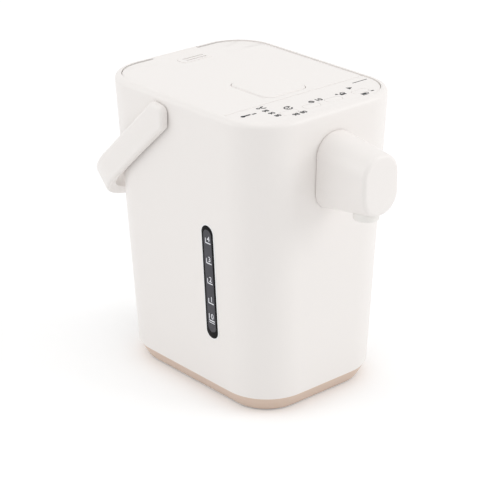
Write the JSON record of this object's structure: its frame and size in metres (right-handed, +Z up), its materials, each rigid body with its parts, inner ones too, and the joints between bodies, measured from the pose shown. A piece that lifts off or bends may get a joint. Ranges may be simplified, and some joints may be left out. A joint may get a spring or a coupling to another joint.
{
  "type": "electric thermo pot",
  "caption": "Electric thermo pot with a tapered rounded body, hinged flush lid with a push button, key panel, front spout, side water gauge and swinging bail handle.",
  "frame": {"origin": "centre of the bounding box's underside, on the plane the rubber feet stand on", "axes": "+Z up; -Y is the front, where the spout points; +X is to the right seen from the front; the lid is shut and the handle hangs at the back"},
  "size_m": [0.1672, 0.2756, 0.2452],
  "materials": {
    "white_plastic": "satin",
    "beige_plastic": "satin",
    "nozzle_white": "smooth",
    "natural_plastic": "smooth moulded",
    "pump_plastic": "glass-filled",
    "rubber": "matt",
    "silicone": "soft",
    "stainless": "brushed",
    "screws": "zinc plated",
    "shield_sheet": "bright",
    "heater_mica": "wrapped",
    "sensor_body": "moulded",
    "motor_case": "plated",
    "magnet": "sintered",
    "gauge_glass": "clear",
    "gauge_smoke": "tinted",
    "circuit_board": "laminate",
    "board_component": "moulded",
    "inlet_black": "moulded",
    "plated_brass": "plated"
  },
  "bodies": {
    "housing": {"outer_shell": "white_plastic", "base_ring": "beige_plastic", "base_plate": "natural_plastic", "rubber_feet": "rubber", "base_screws": "screws", "top_frame": "natural_plastic", "frame_screws": "screws", "inner_vessel": "stainless", "vessel_gasket": "silicone", "clamp_ring": "stainless", "heat_shield": "shield_sheet", "band_heater": "heater_mica", "sensor_bracket": "stainless", "temperature_sensor": "sensor_body", "thermal_cutout": "sensor_body", "pump_housing": "pump_plastic", "pump_cover": "pump_plastic", "pump_motor": "motor_case", "suction_hose": "silicone", "outlet_hose": "silicone", "gauge_tube": "gauge_glass", "gauge_window": "gauge_smoke", "gauge_holder": "natural_plastic", "riser_hose": "silicone", "valve_body": "pump_plastic", "valve_cap": "pump_plastic", "spout_cover": "white_plastic", "spout_screws": "screws", "spout_nozzle": "nozzle_white", "spout_pipe": "silicone", "control_panel": "white_plastic", "panel_board": "circuit_board", "panel_components": "board_component", "hinge_pin": "stainless", "handle_bushes": "natural_plastic", "main_board": "circuit_board", "board_parts": "board_component", "power_inlet": "inlet_black", "inlet_pins": "plated_brass"},
    "lid": {"lid_cover": "white_plastic", "vent_cover": "white_plastic", "lid_base": "natural_plastic", "inner_lid": "stainless", "lid_gasket": "silicone", "lid_screws": "screws", "button_pin": "stainless", "button_spring": "stainless"},
    "steam_valve_ball": {"steam_ball": "stainless"},
    "open_button": {"lid_button": "white_plastic"},
    "latch": {"latch_bolt": "natural_plastic"},
    "carry_handle": {"handle": "white_plastic", "pivot_screws": "screws"},
    "motor_shaft": {"drive_magnet": "magnet"},
    "pump_wheel": {"impeller": "pump_plastic"},
    "tip_over_valve_ball": {"tip_over_ball": "stainless"},
    "reboil_key": {"key_reboil": "white_plastic"},
    "temperature_key": {"key_temperature": "white_plastic"},
    "unlock_key": {"key_unlock": "white_plastic"},
    "dispense_key": {"key_dispense": "white_plastic"}
  },
  "joints": [
    {"name": "handle_swing", "type": "hinge", "parent": "housing", "child": "carry_handle", "pos_m": [0, 0.02389, 0.229], "axis": [1, 0, 0], "range_deg": [0, 132]},
    {"name": "lid_hinge", "type": "hinge", "parent": "housing", "child": "lid", "pos_m": [0, 0.1026, 0.2416], "axis": [-1, 0, 0], "range_deg": [0, 85]},
    {"name": "open_button_press", "type": "hinge", "parent": "lid", "child": "open_button", "pos_m": [0, 0.0059, 0.2408], "axis": [1, 0, 0], "range_deg": [0, 3.5], "stiffness_Nm_per_rad": 2, "springref_deg": -2.86, "deforming": ["button_spring"]},
    {"name": "latch_slide", "type": "slide", "parent": "lid", "child": "latch", "axis": [0, 1, 0], "range_m": [0, 0.0024]},
    {"name": "steam_ball_lift", "type": "slide", "parent": "lid", "child": "steam_valve_ball", "axis": [0, 0, 1], "range_m": [0, 0.02]},
    {"name": "tip_over_ball_lift", "type": "slide", "parent": "housing", "child": "tip_over_valve_ball", "axis": [0, 0, 1], "range_m": [0, 0.0032]},
    {"name": "motor_turn", "type": "hinge", "parent": "housing", "child": "motor_shaft", "pos_m": [-0.03, 0.0209, 0.036], "axis": [0, 0, 1], "continuous": true},
    {"name": "pump_wheel_turn", "type": "hinge", "parent": "housing", "child": "pump_wheel", "pos_m": [-0.03, 0.0209, 0.047], "axis": [0, 0, 1], "continuous": true},
    {"name": "reboil_key_press", "type": "slide", "parent": "housing", "child": "reboil_key", "axis": [0, 0, -1], "range_m": [0, 0.0008], "stiffness_N_per_m": 400, "springref_m": -0.0005},
    {"name": "temperature_key_press", "type": "slide", "parent": "housing", "child": "temperature_key", "axis": [0, 0, -1], "range_m": [0, 0.0008], "stiffness_N_per_m": 400, "springref_m": -0.0005},
    {"name": "unlock_key_press", "type": "slide", "parent": "housing", "child": "unlock_key", "axis": [0, 0, -1], "range_m": [0, 0.0008], "stiffness_N_per_m": 400, "springref_m": -0.0005},
    {"name": "dispense_key_press", "type": "slide", "parent": "housing", "child": "dispense_key", "axis": [0, 0, -1], "range_m": [0, 0.0008], "stiffness_N_per_m": 400, "springref_m": -0.0005}
  ],
  "couplings": [
    {"joint": "latch_slide", "follows": "open_button_press", "m_per_rad": 0.0385},
    {"joint": "pump_wheel_turn", "follows": "motor_turn", "ratio": 1}
  ]
}
